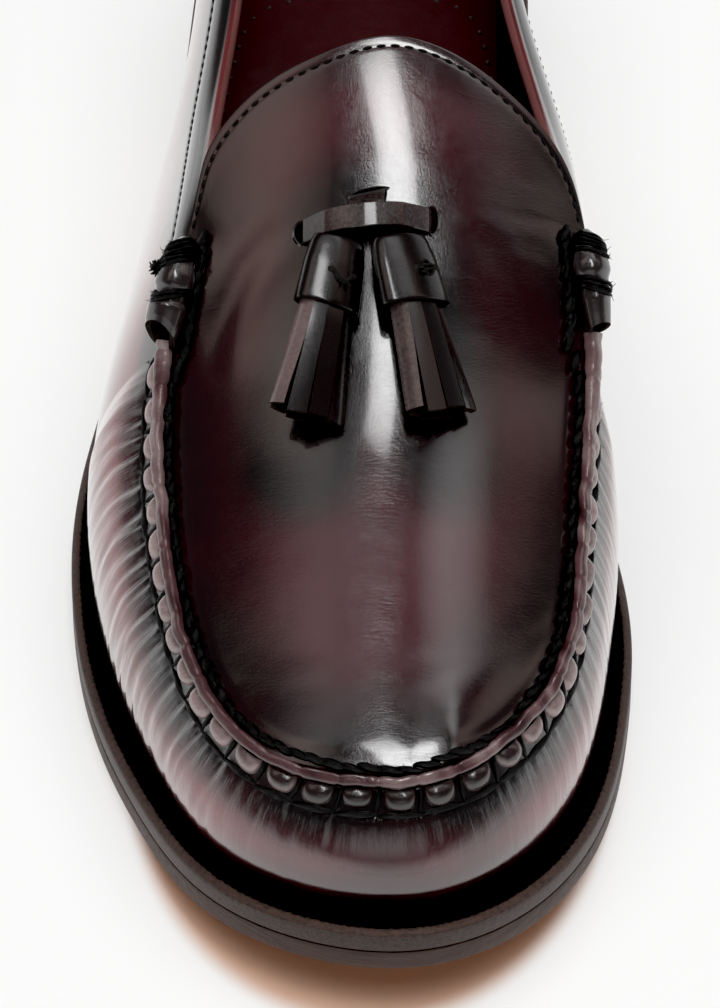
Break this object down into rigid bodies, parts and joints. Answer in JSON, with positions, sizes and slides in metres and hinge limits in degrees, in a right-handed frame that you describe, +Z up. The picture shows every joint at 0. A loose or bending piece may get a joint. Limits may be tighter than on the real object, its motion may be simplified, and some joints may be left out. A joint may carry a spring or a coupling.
{
  "type": "tassel loafer",
  "caption": "Right-foot leather slip-on shoe with a raised moccasin seam round the toe, rolled seam ends, a lace bow with tassels on the instep, and a welted leather sole with a low heel.",
  "frame": {"origin": "centre of the bounding box, on the floor that the shoe stands on", "axes": "+Z up, +Y from the toe to the heel (length), +X towards the inner side of the foot"},
  "size_m": [0.1069, 0.298, 0.096],
  "materials": {
    "sole_leather": "natural tan underside with a dull brown waxed edge",
    "welt_leather": "dark brown to black, waxed",
    "heel_leather": "dark brown, waxed",
    "heel_rubber": "matt black",
    "insole_leather": "dark burgundy, smooth",
    "upper_leather": "deep burgundy, brushed off, high gloss",
    "trim_leather": "deep burgundy, high gloss"
  },
  "bodies": {
    "root": {"outsole": "sole_leather", "welt": "welt_leather", "heel_stack": "heel_leather", "heel_top_piece": "heel_rubber", "insole": "insole_leather", "upper": "upper_leather", "roll_lateral": "trim_leather", "roll_medial": "trim_leather", "tassel_bow": "trim_leather", "tassel_lateral": "trim_leather", "tassel_medial": "trim_leather"}
  },
  "joints": []
}
